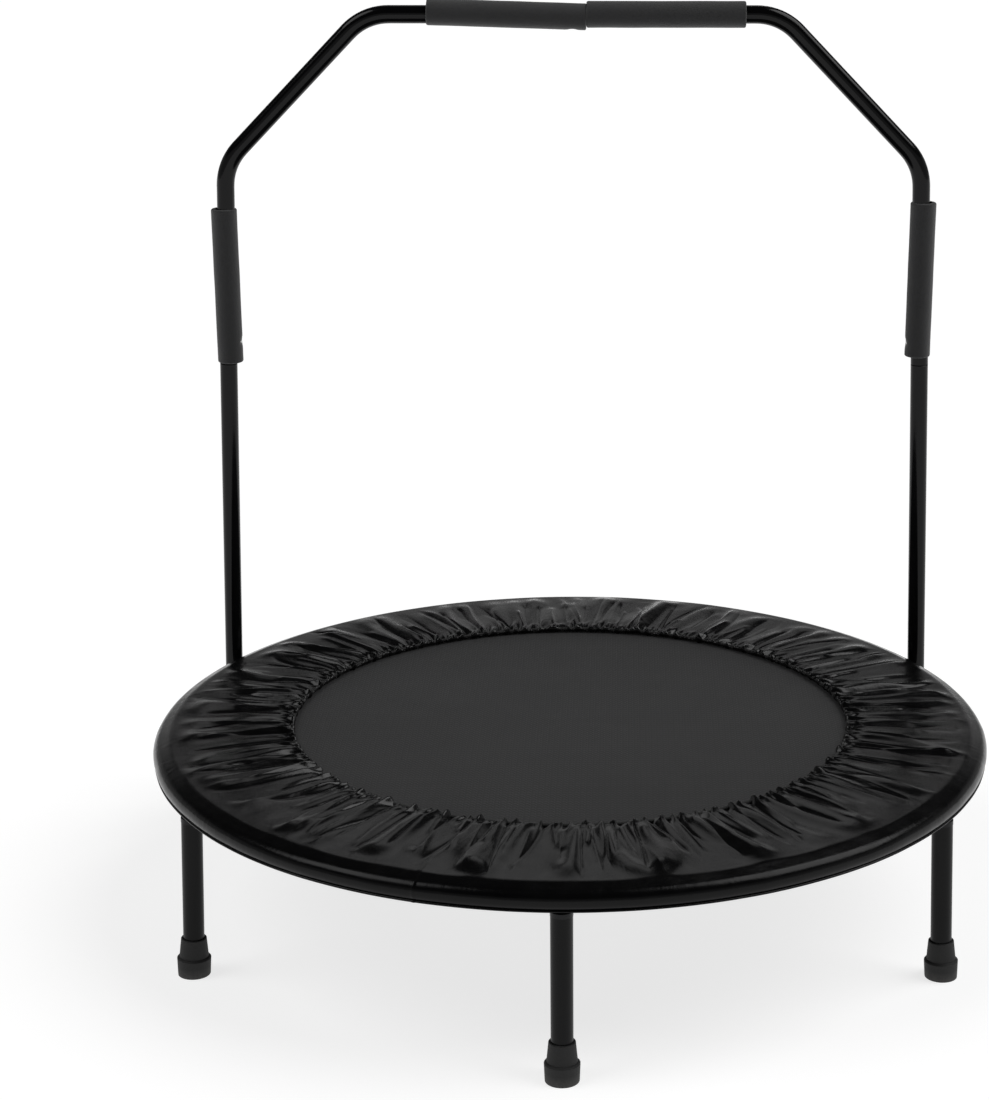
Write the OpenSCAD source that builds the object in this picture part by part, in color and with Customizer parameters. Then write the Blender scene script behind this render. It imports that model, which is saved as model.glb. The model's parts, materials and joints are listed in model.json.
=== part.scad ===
// Mini trampoline with a lift-off handle.
// Origin on the floor under the centre of the ring, +X to the user's right, +Y towards the handle, +Z up.

/* [Ring] */
// Radius of the ring tube's centre line
ring_r = 486.5; // [486:0.5:487]
// Outer diameter of the ring tube
ring_d = 25; // [25:0.1:25.2]
// Height of the ring's centre line above the floor
ring_z = 204; // [190:1:230]
// Wall of every steel tube
wall = 1.5; // [1.2:0.1:1.5]

/* [Legs] */
// Outer diameter of a leg tube
leg_d = 24; // [23:0.5:24]
// Outward lean of the legs and inward lean of the handle posts, in degrees
splay = 1.8; // [1.2:0.1:2.2]
// Depth of the leg seam below the ring's centre line
seam_drop = 18; // [17:0.5:20]
// Diameter of a leg's threaded stud
stud_d = 10; // [8:1:12]
// Height of the wide base of a rubber foot
foot_base_h = 21.5; // [18:0.5:26]
// Height of the tapered sleeve of a rubber foot
foot_sleeve_h = 23; // [18:0.5:28]

/* [Mat and springs] */
// Height of the mat and springs above the ring's centre line
mat_up = 12.5; // [12:0.1:12.8]
// Thickness of the jumping mat
mat_t = 1; // [0.8:0.1:1.2]
// Radius where the mat's webbing edge starts
webbing_r = 340; // [340:1:344]
// Radius of the pocket that holds the triangular rings
pocket_r = 359; // [358:1:360]
// Springs between two legs
springs_per_sector = 6; // [4:1:6]
// Outer diameter of a spring's coil
coil_d = 9; // [8:0.5:10]
// Wire diameter of a spring
spring_wire = 1.6; // [1.4:0.1:1.8]

/* [Cover] */
// Thickness of the cover's fabric
cover_t = 0.75; // [0.6:0.05:0.8]
// Radius of the cover's elasticated inner edge
cover_inner_r = 336; // [334:1:337]

/* [Handle] */
// Distance of a handle post from the centre, at the ring's height
post_r = 517.5; // [516:0.5:520]
// Outer diameter of the handle tubes
handle_d = 22; // [21:0.5:22]
// Height of the lift-off joint above the ring, along the handle's plane
joint_w = 400; // [360:5:440]
// Height of the lower bends above the ring, along the handle's plane
shoulder_w = 652; // [640:2:700]
// Height of the top bar above the ring, along the handle's plane
bar_w = 834; // [800:2:880]
// Half the width between the upper bends
bar_x = 253; // [245:1:265]
// Centre-line radius of the bends
bend_r = 70; // [60:1:75]
// Length of the plug-in ends
spigot_l = 60; // [50:1:65]

/* [Grips and buttons] */
// Outer diameter of a foam grip
grip_d = 32; // [30:0.5:34]
// Length of a foam grip
grip_l = 194; // [180:1:196]
// Sideways shift of the seam between the two top grips
grip_seam_x = 17; // [10:1:17]
// Gap between the joint and the left side grip
grip_gap_left = 2; // [1:1:10]
// Gap between the joint and the right side grip
grip_gap_right = 11; // [1:1:14]
// Diameter of a snap button
button_d = 6; // [5:0.5:7]
// Distance of a snap button from its joint
button_up = 28; // [22:1:32]

/* [Hidden] */
$fn = 96;
SECTORS = 6;
LEG_AZ = [for (k = [0 : SECTORS - 1]) 30 + k * 360 / SECTORS];
RIGHT_REAR = 0;
REAR = 1;
LEFT_REAR = 2;
LEFT_FRONT = 3;
FRONT = 4;
RIGHT_FRONT = 5;

play = 0.05;                      // radial running clearance
ring_ro = ring_d / 2;
leg_ro = leg_d / 2;
handle_ro = handle_d / 2;
handle_ri = handle_ro - wall;
step = 360 / SECTORS / springs_per_sector;
mat_r = 352;
mat_z = ring_z + mat_up;
leg_tube_end = 198;               // along the leg from the ring's centre line
leg_plug_h = 12;
boss_top = 12.2;
boss_spigot_r = 8.9;
boss_spigot_top = 1;
strip_t = 1.2;                    // webbing over and under the mat's edge
pocket_h = 7;
pocket_ri = 2.1;
slot_y = 8.7;                     // middle of the slot for one arm of a triangular ring
slot_w = 9;
loop_bar = 3;
loop_h = 2.4;
loop_apex_r = 376;
loop_half = 11;
hook_r = 3.6;
hook_c = 375;
coil_from = 386;
coil_to = 460;
hook_leg_r = 479;
hook_leg_h = 5.4;
hook_hole_r = 2;
channel_z = mat_up + 5.2;         // inner elastic above the ring's centre line
channel_ro = 3.2;
channel_ri = 2.2;
cover_ri = ring_ro + 0.25;
cover_ro = cover_ri + cover_t;
knee_in = 18;                     // the cover rises this far inside the ring to clear the springs
knee_up = mat_up + coil_d / 2 + 1;
hem_x = 10.9;
hem_z = -9.3;
hem_ro = 1.5;
hem_ri = 0.95;
base_y = post_r * sin(30);
base_x = post_r * cos(30);
plane_tilt = atan(tan(splay) * sin(30));
side_lean = asin(sin(splay) * cos(30));
spigot_r = handle_ri - play;
taper = 2.1;                      // draft of a post's plug-in end
joint_x = -28;                    // where the top bar's halves meet
post_gap = post_r - ring_r;       // from a leg's axis to its post's axis
post_foot = 150;                  // the post's lower end, below the ring
bolt_drops = [60, 125];
bolt_r = 3;
head_h = 4;
bend_lip = 0.05;                  // a bend's wall is this much thicker each way than its runs
bend_lap = 0.8;                   // and each run ends this far inside it
button_tip = grip_d / 2 + 0.6;
button_base = 5.9;
clip_t = 0.7;
clip_w = 5;
clip_l = 26;
clip_bore_r = spigot_r - wall - 0.2;

// ---------- frames of reference ----------

// Local frame of a leg: origin on the ring's centre line, -Z down the leg, +X outwards.
module at_leg(k) {
    rotate([0, 0, LEG_AZ[k]])
        translate([ring_r, 0, ring_z])
            rotate([0, -splay, 0])
                children();
}

// Local frame of the handle: origin between the post feet at the ring's height, X across, Z up its plane.
module at_handle() {
    translate([0, base_y, ring_z])
        rotate([plane_tilt, 0, 0])
            children();
}

// Local frame of the right post inside the handle's frame: +Z up the post.
module on_post() {
    translate([base_x, 0, 0])
        rotate([0, -side_lean, 0])
            children();
}

module mirrored(side) {
    mirror([side < 0 ? 1 : 0, 0, 0])
        children();
}

module tube(ro, ri, h) {
    difference() {
        cylinder(r = ro, h = h);
        translate([0, 0, -1])
            cylinder(r = ri, h = h + 2);
    }
}

// ---------- ring and sockets ----------

// Ring tube with a hole for each spring's hook and each leg's boss.
module ring() {
    color([0.07, 0.07, 0.08])
        difference() {
            translate([0, 0, ring_z])
                rotate_extrude()
                    translate([ring_r, 0])
                        difference() {
                            circle(r = ring_ro);
                            circle(r = ring_ro - wall);
                        }
            for (k = [0 : SECTORS * springs_per_sector - 1])
                rotate([0, 0, (k + 0.5) * step])
                    translate([hook_leg_r, 0, ring_z + 4])
                        rotate([0, 0, 70])
                            cylinder(r = hook_hole_r, h = ring_ro);
            for (k = [0 : SECTORS - 1])
                at_leg(k)
                    translate([0, 0, -ring_ro - 2])
                        cylinder(r = boss_spigot_r + 0.1, h = 10);
        }
}

// Threaded boss under the ring that a leg screws into.
module socket(k) {
    color([0.07, 0.07, 0.08])
        at_leg(k)
            difference() {
                union() {
                    translate([0, 0, -seam_drop])
                        cylinder(r = leg_ro + 0.3, h = seam_drop - ring_ro - 0.3);
                    translate([0, 0, -seam_drop])
                        cylinder(r = boss_spigot_r, h = seam_drop - boss_spigot_top);
                }
                translate([0, 0, -seam_drop - 1])
                    cylinder(r = stud_d / 2 + play, h = seam_drop + 2);
            }
}

// ---------- legs ----------

module leg(k, drilled = false) {
    color([0.09, 0.09, 0.1])
        at_leg(k)
            difference() {
                translate([0, 0, -leg_tube_end])
                    tube(leg_ro, leg_ro - wall, leg_tube_end - seam_drop - 0.1);
                if (drilled)
                    for (drop = bolt_drops)
                        translate([-leg_ro - 1, 0, -drop])
                            rotate([0, 90, 0])
                                cylinder(r = bolt_r + 0.1, h = leg_d + 2);
            }
}

// Plug welded in the top of a leg, with its threaded stud.
module stud(k) {
    plug_z = -seam_drop - leg_plug_h - 0.2;
    color([0.62, 0.63, 0.65])
        at_leg(k) {
            translate([0, 0, plug_z])
                cylinder(r = leg_ro - wall, h = leg_plug_h);
            translate([0, 0, plug_z])
                cylinder(r = stud_d / 2, h = leg_plug_h + 14);
        }
}

// Two-step rubber foot, cut level with the floor.
module foot(k) {
    bottom = -ring_z - 4;
    base_top = -ring_z + foot_base_h;
    sleeve_top = base_top + foot_sleeve_h;
    color([0.05, 0.05, 0.05])
        difference() {
            at_leg(k)
                rotate_extrude()
                    polygon([
                        [0, bottom], [18.2, bottom], [18.6, -ring_z + 2], [19.3, base_top - 1.6],
                        [17.9, base_top], [16.6, base_top + 0.6], [14.5, sleeve_top - 0.8],
                        [13.8, sleeve_top], [leg_ro + 0.05, sleeve_top],
                        [leg_ro + 0.05, -leg_tube_end - 0.05], [0, -leg_tube_end - 0.05],
                    ]);
            translate([-600, -600, -20])
                cube([1200, 1200, 20]);
        }
}

// ---------- mat ----------

module mat() {
    color([0.06, 0.06, 0.06])
        translate([0, 0, mat_z - mat_t / 2])
            cylinder(r = mat_r, h = mat_t);
}

// Webbing stitched over the mat's edge, with a pocket and two slots for each triangular ring.
module mat_webbing() {
    strip_l = mat_r - webbing_r;
    color([0.05, 0.05, 0.05])
        translate([0, 0, mat_z])
            difference() {
                rotate_extrude()
                    difference() {
                        union() {
                            translate([mat_r, -pocket_h / 2])
                                square([2 * (pocket_r - mat_r), pocket_h]);
                            translate([webbing_r, mat_t / 2])
                                square([strip_l + 1, strip_t]);
                            translate([webbing_r, -mat_t / 2 - strip_t])
                                square([strip_l + 1, strip_t]);
                        }
                        translate([pocket_r - pocket_ri, -pocket_ri])
                            square(2 * pocket_ri);
                    }
                for (k = [0 : SECTORS * springs_per_sector - 1], side = [-1, 1])
                    rotate([0, 0, (k + 0.5) * step])
                        translate([pocket_r + 1, side * slot_y - slot_w / 2, -pocket_ri + 0.1])
                            cube([9, slot_w, 2 * pocket_ri - 0.2]);
            }
}

// Triangular ring: its base lies in the webbing's pocket and its blunt apex takes a spring.
module mat_loop() {
    lean = atan((loop_apex_r - pocket_r) / loop_half);
    grow = loop_bar / 2;
    foot = loop_half + grow / tan(lean / 2);
    blunt = (pocket_r - grow + foot * tan(lean) - loop_apex_r - grow) / tan(lean);
    inner_foot = loop_half - grow / tan(lean / 2);
    linear_extrude(height = loop_h, center = true)
        difference() {
            polygon([
                [pocket_r - grow, -foot], [loop_apex_r + grow, -blunt],
                [loop_apex_r + grow, blunt], [pocket_r - grow, foot],
            ]);
            polygon([
                [pocket_r + grow, -inner_foot], [pocket_r + grow + inner_foot * tan(lean), 0],
                [pocket_r + grow, inner_foot],
            ]);
        }
}

module mat_loops() {
    color([0.7, 0.71, 0.72])
        translate([0, 0, mat_z])
            for (k = [0 : SECTORS * springs_per_sector - 1])
                rotate([0, 0, (k + 0.5) * step])
                    mat_loop();
}

// ---------- springs ----------

module wire(a, b, r) {
    d = b - a;
    translate(a)
        rotate([0, acos(d[2] / norm(d)), atan2(d[1], d[0])])
            cylinder(r = r, h = norm(d), $fn = 32);
}

// Extension spring along +X: closed eye on the mat's ring, bent hook through a hole in the ring's top.
module mat_spring() {
    wr = spring_wire / 2;
    translate([hook_c, 0, 0])
        rotate([90, 0, 0])
            rotate_extrude()
                translate([hook_r, 0])
                    circle(r = wr, $fn = 24);
    wire([hook_c + hook_r, 0, 0], [coil_from + 1, 0, 0], wr);
    translate([coil_from, 0, 0])
        rotate([0, 90, 0])
            difference() {
                cylinder(r = coil_d / 2, h = coil_to - coil_from);
                translate([0, 0, spring_wire])
                    cylinder(r = coil_d / 2 - spring_wire, h = coil_to - coil_from - 2 * spring_wire);
            }
    wire([coil_to - 1, 0, 0], [hook_leg_r, 0, 0], wr);
    translate([hook_leg_r, 0, 0])
        sphere(r = wr, $fn = 24);
    wire([hook_leg_r, 0, 0], [hook_leg_r, 0, -hook_leg_h], wr);
}

// The springs on both sides of leg k.
module springs(k) {
    color([0.72, 0.73, 0.74])
        translate([0, 0, mat_z])
            for (i = [0 : springs_per_sector - 1])
                rotate([0, 0, LEG_AZ[k] + (i + 0.5 - springs_per_sector / 2) * step])
                    mat_spring();
}

// ---------- cover ----------

// Skirt round the ring, sheet over the springs and two elastic channels.
module cover() {
    inner_x = cover_inner_r - ring_r;
    color([0.05, 0.05, 0.06])
        translate([0, 0, ring_z])
            rotate_extrude()
                translate([ring_r, 0])
                    difference() {
                        union() {
                            difference() {
                                circle(r = cover_ro);
                                circle(r = cover_ri);
                                translate([-20, -20])
                                    square([20, 40]);
                                translate([-20, -20])
                                    square([40, 20 + hem_z]);
                            }
                            polygon([
                                [0, cover_ri], [0, cover_ro],
                                [-knee_in, knee_up + cover_t],
                                [inner_x, channel_z + channel_ro],
                                [inner_x, channel_z + channel_ro - cover_t],
                                [-knee_in, knee_up],
                            ]);
                            translate([inner_x, channel_z])
                                circle(r = channel_ro);
                            translate([hem_x, hem_z])
                                circle(r = hem_ro);
                        }
                        translate([inner_x, channel_z])
                            circle(r = channel_ri);
                        translate([hem_x, hem_z])
                            circle(r = hem_ri);
                    }
}

module cover_inner_elastic() {
    color([0.04, 0.04, 0.04])
        translate([0, 0, ring_z + channel_z])
            rotate_extrude()
                translate([cover_inner_r, 0])
                    circle(r = channel_ri - 0.3);
}

module cover_hem_elastic() {
    color([0.04, 0.04, 0.04])
        translate([0, 0, ring_z + hem_z])
            rotate_extrude()
                translate([ring_r + hem_x, 0])
                    circle(r = hem_ri - 0.15);
}

// ---------- handle posts ----------

// Post on the right; its top is drawn down to a tapered plug.
module post_solid() {
    top = joint_w / cos(side_lean);
    tip_r = spigot_r - spigot_l * tan(taper);
    difference() {
        union() {
            translate([0, 0, -post_foot])
                cylinder(r = handle_ro, h = post_foot + top - 0.8);
            translate([0, 0, top - 0.8])
                cylinder(r1 = handle_ro, r2 = handle_ro - 0.8, h = 0.8);
            translate([0, 0, top])
                cylinder(r1 = spigot_r, r2 = tip_r, h = spigot_l);
        }
        translate([0, 0, -post_foot - 1])
            cylinder(r = handle_ri, h = post_foot + top - 7);
        translate([0, 0, top - 8.01])
            cylinder(r1 = handle_ri, r2 = spigot_r - wall, h = 8.01);
        translate([0, 0, top])
            cylinder(r1 = spigot_r - wall, r2 = tip_r - wall, h = spigot_l + 0.01);
        translate([0, 0, top + button_up])
            rotate([0, -90, 0])
                cylinder(r = button_d / 2 + play, h = handle_ro);
        for (drop = bolt_drops)
            translate([0, 0, post_gap * sin(splay) - drop])
                rotate([0, 0, 30])
                    rotate([0, 90, 0])
                        cylinder(r = bolt_r + 0.1, h = handle_d + 2, center = true);
    }
}

module post(side) {
    color([0.03, 0.03, 0.035])
        at_handle()
            mirrored(side)
                on_post()
                    post_solid();
}

module post_cap(side) {
    color([0.05, 0.05, 0.05])
        at_handle()
            mirrored(side)
                on_post() {
                    translate([0, 0, -post_foot - 3])
                        cylinder(r1 = handle_ro - 1.2, r2 = handle_ro, h = 1.2);
                    translate([0, 0, -post_foot - 1.8])
                        cylinder(r = handle_ro, h = 1.7);
                    translate([0, 0, -post_foot - 0.1])
                        cylinder(r = handle_ri - 0.05, h = 14);
                }
}

// Saddle spacers that hold each post clear of the ring and its cover.
module post_spacers() {
    color([0.05, 0.05, 0.05])
        for (k = [RIGHT_REAR, LEFT_REAR], drop = bolt_drops)
            at_leg(k)
                translate([0, 0, -drop])
                    difference() {
                        rotate([0, 90, 0])
                            cylinder(r = 8, h = post_gap);
                        translate([0, 0, -20])
                            cylinder(r = leg_ro + 0.1, h = 40);
                        translate([post_gap, 0, -20])
                            cylinder(r = handle_ro + 0.1, h = 40);
                        translate([-1, 0, 0])
                            rotate([0, 90, 0])
                                cylinder(r = bolt_r + 0.1, h = post_gap + 2);
                    }
}

module post_bolts() {
    out = post_gap + handle_ro + 0.1;
    color([0.6, 0.61, 0.63])
        for (k = [RIGHT_REAR, LEFT_REAR], drop = bolt_drops)
            at_leg(k)
                translate([0, 0, -drop])
                    rotate([0, 90, 0]) {
                        translate([0, 0, -leg_ro - 7])
                            cylinder(r = bolt_r, h = out + leg_ro + 8);
                        translate([0, 0, out])
                            cylinder(r = 5.6, h = head_h, $fn = 6);
                    }
}

module post_nuts() {
    color([0.6, 0.61, 0.63])
        for (k = [RIGHT_REAR, LEFT_REAR], drop = bolt_drops)
            at_leg(k)
                translate([-leg_ro - 0.1, 0, -drop])
                    rotate([0, -90, 0])
                        difference() {
                            cylinder(r = 5.6, h = 5, $fn = 6);
                            translate([0, 0, -1])
                                cylinder(r = bolt_r + 0.02, h = 7);
                        }
}

// ---------- upper handle ----------

function left_of(u) = [-u[1], u[0]];
function unit(v) = v / norm(v);
function side_x(w) = base_x - w * tan(side_lean);
function turn(u, v) = acos(u * v);

// Straight tube between two points [x, z] of the handle's plane.
module run(a, b, ro = handle_ro, ri = handle_ri) {
    d = b - a;
    translate([a[0], 0, a[1]])
        rotate([0, atan2(d[0], d[1]), 0])
            tube(ro, ri, norm(d));
}

// Bend at corner c from direction u to direction v, turning left. Its wall takes in the ends of its runs.
module bend(c, u, v) {
    start = c - u * bend_r * tan(turn(u, v) / 2);
    n = left_of(u);
    centre = start + n * bend_r;
    translate([centre[0], 0, centre[1]])
        rotate([90, 0, 0])
            rotate([0, 0, atan2(-n[1], -n[0])])
                rotate_extrude(angle = turn(u, v))
                    translate([bend_r, 0])
                        difference() {
                            circle(r = handle_ro + bend_lip);
                            circle(r = handle_ri - bend_lip);
                        }
}

// Right half of the handle, from just above the joint to x = end_x.
module half_handle(end_x) {
    low = [side_x(joint_w + 0.3), joint_w + 0.3];
    c1 = [side_x(shoulder_w), shoulder_w];
    c2 = [bar_x, bar_w];
    u1 = unit(c1 - low);
    u2 = unit(c2 - c1);
    u3 = [-1, 0];
    t1 = bend_r * tan(turn(u1, u2) / 2) - bend_lap;
    t2 = bend_r * tan(turn(u2, u3) / 2) - bend_lap;
    run(low, c1 - u1 * t1);
    bend(c1, u1, u2);
    run(c1 + u2 * t1, c2 - u2 * t2);
    bend(c2, u2, u3);
    run(c2 + u3 * t2, [end_x, bar_w]);
}

// Hole for a snap button in the lower end of the right half.
module side_button_hole(r) {
    on_post()
        translate([0, 0, joint_w / cos(side_lean) + button_up])
            rotate([0, -90, 0])
                cylinder(r = r, h = grip_d);
}

module top_button_hole(r) {
    translate([0, 0, bar_w - grip_d])
        cylinder(r = r, h = grip_d);
}

module handle_right() {
    color([0.03, 0.03, 0.035])
        at_handle()
            difference() {
                half_handle(joint_x);
                side_button_hole(button_d / 2 + play);
                top_button_hole(button_d / 2 + play);
            }
}

// The left half ends in a plug that fills the right half's end.
module handle_left() {
    color([0.03, 0.03, 0.035])
        at_handle()
            difference() {
                union() {
                    mirrored(-1)
                        half_handle(-joint_x + 0.1);
                    run([joint_x - 8, bar_w], [joint_x - 0.3, bar_w], handle_ri + 0.4, clip_bore_r);
                    run([joint_x - 1, bar_w], [joint_x + spigot_l, bar_w], spigot_r, spigot_r - wall);
                }
                mirrored(-1)
                    side_button_hole(button_d / 2 + play);
                top_button_hole(button_d / 2 + play);
            }
}

// ---------- foam grips ----------

module grip_top(x0) {
    color([0.1, 0.1, 0.1])
        at_handle()
            difference() {
                translate([x0, 0, bar_w])
                    rotate([0, 90, 0])
                        tube(grip_d / 2, handle_ro + 0.05, grip_l - 0.3);
                translate([0, 0, bar_w - grip_d])
                    cylinder(r = button_d / 2 + 0.6, h = grip_d);
            }
}

module grip_side(side, gap) {
    color([0.1, 0.1, 0.1])
        at_handle()
            mirrored(side)
                difference() {
                    on_post()
                        translate([0, 0, joint_w / cos(side_lean) + gap])
                            tube(grip_d / 2, handle_ro + 0.05, grip_l);
                    side_button_hole(button_d / 2 + 0.6);
                }
}

// ---------- snap buttons ----------

// Button along +X, from its clip to its domed tip.
module button_pin() {
    rotate([0, 90, 0]) {
        translate([0, 0, button_base])
            cylinder(r = button_d / 2, h = button_tip - button_base - button_d / 4);
        translate([0, 0, button_tip - button_d / 4 - 0.01])
            cylinder(r1 = button_d / 2, r2 = button_d / 4, h = button_d / 4);
    }
}

// Spring-steel clip behind a button: one leaf bent double, its two legs along -Z.
module clip() {
    reach = button_base - 0.05;
    bow_r = reach - 0.5;
    rotate([90, 0, 0])
        linear_extrude(height = clip_w, center = true) {
            translate([reach - clip_t, -clip_l])
                square([clip_t, clip_l + 4]);
            translate([1 - reach, -clip_l])
                square([clip_t, clip_l]);
            translate([0.5, -clip_l])
                difference() {
                    circle(r = bow_r + bend_lip);
                    circle(r = bow_r - clip_t - bend_lip);
                    translate([-20, 0])
                        square([40, 20]);
                }
        }
}

// Frame of a side button: origin on the post's axis, +X out through the hole.
module at_side_button(side) {
    at_handle()
        mirrored(side)
            on_post()
                translate([0, 0, joint_w / cos(side_lean) + button_up])
                    rotate([0, 0, 180])
                        children();
}

// Frame of the top button: origin on the bar's axis, +X down through the hole, -Z along the left half.
module at_top_button() {
    at_handle()
        translate([0, 0, bar_w])
            rotate([0, 90, 0])
                children();
}

module button_side(side) {
    color([0.78, 0.79, 0.8])
        at_side_button(side)
            button_pin();
}

module button_clip_side(side) {
    color([0.7, 0.71, 0.72])
        at_side_button(side)
            clip();
}

module button_top() {
    color([0.78, 0.79, 0.8])
        at_top_button()
            button_pin();
}

module button_clip_top() {
    color([0.7, 0.71, 0.72])
        at_top_button()
            clip();
}

ring();
socket(RIGHT_REAR);  // socket_right_rear
socket(REAR);  // socket_rear
socket(LEFT_REAR);  // socket_left_rear
socket(LEFT_FRONT);  // socket_left_front
socket(FRONT);  // socket_front
socket(RIGHT_FRONT);  // socket_right_front
leg(RIGHT_REAR, drilled = true);  // leg_right_rear
leg(REAR);  // leg_rear
leg(LEFT_REAR, drilled = true);  // leg_left_rear
leg(LEFT_FRONT);  // leg_left_front
leg(FRONT);  // leg_front
leg(RIGHT_FRONT);  // leg_right_front
stud(RIGHT_REAR);  // stud_right_rear
stud(REAR);  // stud_rear
stud(LEFT_REAR);  // stud_left_rear
stud(LEFT_FRONT);  // stud_left_front
stud(FRONT);  // stud_front
stud(RIGHT_FRONT);  // stud_right_front
foot(RIGHT_REAR);  // foot_right_rear
foot(REAR);  // foot_rear
foot(LEFT_REAR);  // foot_left_rear
foot(LEFT_FRONT);  // foot_left_front
foot(FRONT);  // foot_front
foot(RIGHT_FRONT);  // foot_right_front
cover();
cover_inner_elastic();
cover_hem_elastic();
springs(RIGHT_REAR);  // springs_right_rear
springs(REAR);  // springs_rear
springs(LEFT_REAR);  // springs_left_rear
springs(LEFT_FRONT);  // springs_left_front
springs(FRONT);  // springs_front
springs(RIGHT_FRONT);  // springs_right_front
mat();
mat_webbing();
mat_loops();
post(-1);  // post_left
post(1);  // post_right
post_cap(-1);  // post_cap_left
post_cap(1);  // post_cap_right
post_spacers();
post_bolts();
post_nuts();
handle_left();
handle_right();
grip_top(grip_seam_x - grip_l);  // grip_top_left
grip_top(grip_seam_x);  // grip_top_right
grip_side(-1, grip_gap_left);  // grip_side_left
grip_side(1, grip_gap_right);  // grip_side_right
button_side(-1);  // button_left
button_side(1);  // button_right
button_top();
button_clip_side(-1);  // button_clip_left
button_clip_side(1);  // button_clip_right
button_clip_top();
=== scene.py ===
"""Looks of the mini trampoline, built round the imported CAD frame. Everything is in metres in that frame."""

import json
import math

import bpy
import numpy as np
from mathutils import Matrix, Vector


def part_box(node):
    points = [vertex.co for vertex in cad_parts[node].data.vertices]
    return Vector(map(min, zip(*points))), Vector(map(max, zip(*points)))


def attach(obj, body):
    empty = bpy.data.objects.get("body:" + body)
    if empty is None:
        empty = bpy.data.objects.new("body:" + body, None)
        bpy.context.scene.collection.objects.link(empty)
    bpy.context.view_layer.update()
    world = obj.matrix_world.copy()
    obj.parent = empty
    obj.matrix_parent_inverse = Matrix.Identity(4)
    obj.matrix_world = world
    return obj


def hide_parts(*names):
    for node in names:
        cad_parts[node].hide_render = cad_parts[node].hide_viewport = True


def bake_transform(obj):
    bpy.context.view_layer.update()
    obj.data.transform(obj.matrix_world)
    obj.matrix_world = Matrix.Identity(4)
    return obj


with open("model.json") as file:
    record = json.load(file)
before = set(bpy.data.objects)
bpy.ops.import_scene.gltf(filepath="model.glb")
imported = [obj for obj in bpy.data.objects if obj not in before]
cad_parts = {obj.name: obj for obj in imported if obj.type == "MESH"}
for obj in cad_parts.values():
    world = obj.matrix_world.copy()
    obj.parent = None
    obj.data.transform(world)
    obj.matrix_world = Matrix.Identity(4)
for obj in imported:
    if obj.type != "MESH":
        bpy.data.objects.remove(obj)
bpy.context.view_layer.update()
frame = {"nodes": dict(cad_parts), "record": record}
TAU = 2 * math.pi

# ---------- sizes shared with the CAD model ----------

RING_Z = 0.204
RING_R = 0.4865
COVER_RO = 0.0135
HEM_ANGLE = -40.5
CHANNEL_R = 0.336
MAT_Z = RING_Z + 0.0125
CHANNEL_Z = MAT_Z + 0.0052
KNEE_R = RING_R - 0.0065
KNEE_Z = RING_Z + 0.0171
SKIRT_FROM = 68.5
SEAM_DEG = 252.0
HEM_X = 0.0109
HEM_Z = -0.0093
HEM_RO = 0.00155
CHANNEL_RO = 0.0032
MAT_R = 0.352
MAT_T = 0.001
WEBBING_R = 0.340
POCKET_R = 0.359
POCKET_OUT_R = 0.366
POCKET_H = 0.007
STRIP_T = 0.0012
SPRINGS = 36
HOOK_C = 0.375
HOOK_R = 0.0036
COIL_FROM = 0.386
COIL_TO = 0.460
COIL_R = 0.0045
WIRE = 0.0016
HOOK_LEG_R = 0.479
HOOK_LEG_H = 0.0054
GRIP_R = 0.016
HANDLE_R = 0.011
LEGS = ("right_rear", "rear", "left_rear", "left_front", "front", "right_front")

# ---------- mesh density ----------

COVER_COLS = 2700
CHANNEL_ROWS = 18
ROWS_TOP = 58
SKIRT_ROWS = 34
HEM_ROWS = 12
GRIP_COLS = 84

# ---------- stage, light and camera ----------

FLOOR_SIZE = 30.0
FLOOR_Z = -0.0002
FLOOR_GREY = 0.42
FLOOR_GLOW = 0.76
HORIZON = (0.27, 0.37)    # sines of the elevations between which the studio darkens
WORLD_LOW = 0.32
WORLD_TOP = 0.02
SUNS = (
    ("box_right", (0.62, 0.05, 0.80), 1.5, 44),
    ("box_left", (-0.62, -0.12, 0.80), 0.75, 34),
    ("box_back", (0.0, 0.80, 0.60), 0.09, 28),
)
CAMERA_AT = (0.0593, -2.8357, 1.2818)
CAMERA_YAW = -0.0084
CAMERA_PITCH = 0.2909
CAMERA_LENS = 81.48
CAMERA_SHIFT_X = -0.0959


# ---------- node helpers for materials ----------


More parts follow.
